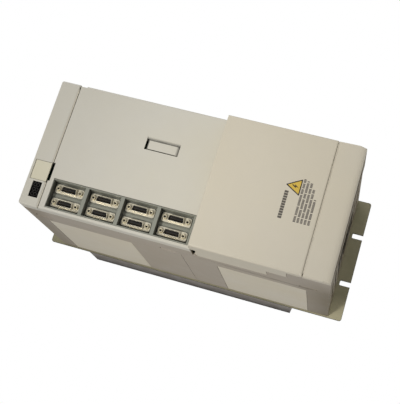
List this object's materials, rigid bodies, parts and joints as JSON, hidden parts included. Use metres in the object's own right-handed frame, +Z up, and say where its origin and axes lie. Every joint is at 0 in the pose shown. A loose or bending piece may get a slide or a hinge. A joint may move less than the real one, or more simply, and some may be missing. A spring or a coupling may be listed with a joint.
{
  "type": "servo drive",
  "caption": "Upright panel-mounted servo drive with a hinged front cover, a raised terminal cover, signal connectors, a small display and rear cooling fins.",
  "frame": {"origin": "rear face of the mounting plate, midway between the two lower fixing slots", "axes": "+Z up along the height, +Y back through the panel towards the fins, +X to the right seen from the front"},
  "size_m": [0.1526, 0.2785, 0.38],
  "materials": {
    "cover_plastic": "fine textured, warm light grey",
    "terminal_plastic": "fine textured, light beige",
    "flap_plastic": "fine textured, light beige",
    "case_plastic": "fine textured, grey beige",
    "panel_sheet": "smooth light sheet",
    "bay_plastic": "matt grey",
    "black_plastic": "matt black",
    "smoked_window": "glossy smoked",
    "plated_steel": "nickel plated",
    "plate_steel": "zinc plated, yellow passivated",
    "sink_aluminium": "extruded",
    "board_laminate": "green solder mask",
    "bus_copper": "copper",
    "earth_brass": "bare",
    "knob_plastic": "white",
    "can_sleeve": "shrink sleeve",
    "lamp_lens": "clear red",
    "ribbon_plastic": "grey"
  },
  "bodies": {
    "drive": {"board_bracket": "plate_steel", "bus_bar_negative": "bus_copper", "bus_bar_positive": "bus_copper", "capacitor_centre": "can_sleeve", "capacitor_left": "can_sleeve", "capacitor_right": "can_sleeve", "case_lower": "case_plastic", "case_upper": "case_plastic", "charge_lamp": "lamp_lens", "connector_bay": "bay_plastic", "connector_insert_1": "black_plastic", "connector_insert_2": "black_plastic", "connector_insert_3": "black_plastic", "connector_insert_4": "black_plastic", "connector_insert_5": "black_plastic", "connector_insert_6": "black_plastic", "connector_insert_7": "black_plastic", "connector_insert_8": "black_plastic", "connector_shell_1": "plated_steel", "connector_shell_2": "plated_steel", "connector_shell_3": "plated_steel", "connector_shell_4": "plated_steel", "connector_shell_5": "plated_steel", "connector_shell_6": "plated_steel", "connector_shell_7": "plated_steel", "connector_shell_8": "plated_steel", "control_board": "board_laminate", "display_module": "black_plastic", "display_window": "smoked_window", "earth_bar": "earth_brass", "end_strip": "terminal_plastic", "fan_frame_left": "black_plastic", "fan_frame_right": "black_plastic", "fan_guard": "plate_steel", "front_case": "case_plastic", "heat_sink": "sink_aluminium", "mounting_plate": "plate_steel", "power_board": "board_laminate", "power_module_left": "black_plastic", "power_module_right": "black_plastic", "ribbon_cable": "ribbon_plastic", "rotary_switch_left": "black_plastic", "rotary_switch_right": "black_plastic", "side_panel_left_lower": "panel_sheet", "side_panel_left_upper": "panel_sheet", "side_panel_right_lower": "panel_sheet", "side_panel_right_upper": "panel_sheet", "terminal_block_motor_left": "black_plastic", "terminal_block_motor_right": "black_plastic", "terminal_block_supply": "black_plastic", "top_bezel": "cover_plastic"},
    "front_cover": {"front_cover": "cover_plastic", "front_cover_pin": "plated_steel"},
    "cover_latch": {"cover_latch": "cover_plastic"},
    "terminal_cover": {"terminal_cover": "terminal_plastic"},
    "switch_door": {"switch_door": "flap_plastic"},
    "rotary_knob_left": {"rotary_knob_left": "knob_plastic"},
    "rotary_knob_right": {"rotary_knob_right": "knob_plastic"},
    "fan_rotor_left": {"fan_rotor_left": "black_plastic"},
    "fan_rotor_right": {"fan_rotor_right": "black_plastic"}
  },
  "joints": [
    {"name": "front_cover_hinge", "type": "hinge", "parent": "drive", "child": "front_cover", "pos_m": [0.071, -0.174, 0.1564], "axis": [0, 0, 1], "range_deg": [0, 90]},
    {"name": "cover_latch_slide", "type": "slide", "parent": "front_cover", "child": "cover_latch", "axis": [0, 0, 1], "range_m": [0, 0.003]},
    {"name": "terminal_cover_hinge", "type": "hinge", "parent": "drive", "child": "terminal_cover", "pos_m": [0, -0.1975, 0.0364], "axis": [1, 0, 0], "range_deg": [0, 90]},
    {"name": "switch_door_hinge", "type": "hinge", "parent": "drive", "child": "switch_door", "pos_m": [-0.0329, -0.1811, 0.3497], "axis": [-1, 0, 0], "range_deg": [0, 90]},
    {"name": "rotary_knob_left_turn", "type": "hinge", "parent": "drive", "child": "rotary_knob_left", "pos_m": [-0.0379, -0.176, 0.3412], "axis": [0, -1, 0], "continuous": true},
    {"name": "rotary_knob_right_turn", "type": "hinge", "parent": "drive", "child": "rotary_knob_right", "pos_m": [-0.0279, -0.176, 0.3412], "axis": [0, -1, 0], "continuous": true},
    {"name": "fan_rotor_left_spin", "type": "hinge", "parent": "drive", "child": "fan_rotor_left", "pos_m": [-0.0344, 0.0435, 0.0719], "axis": [0, 0, 1], "continuous": true},
    {"name": "fan_rotor_right_spin", "type": "hinge", "parent": "drive", "child": "fan_rotor_right", "pos_m": [0.0344, 0.0435, 0.0719], "axis": [0, 0, 1], "continuous": true}
  ]
}
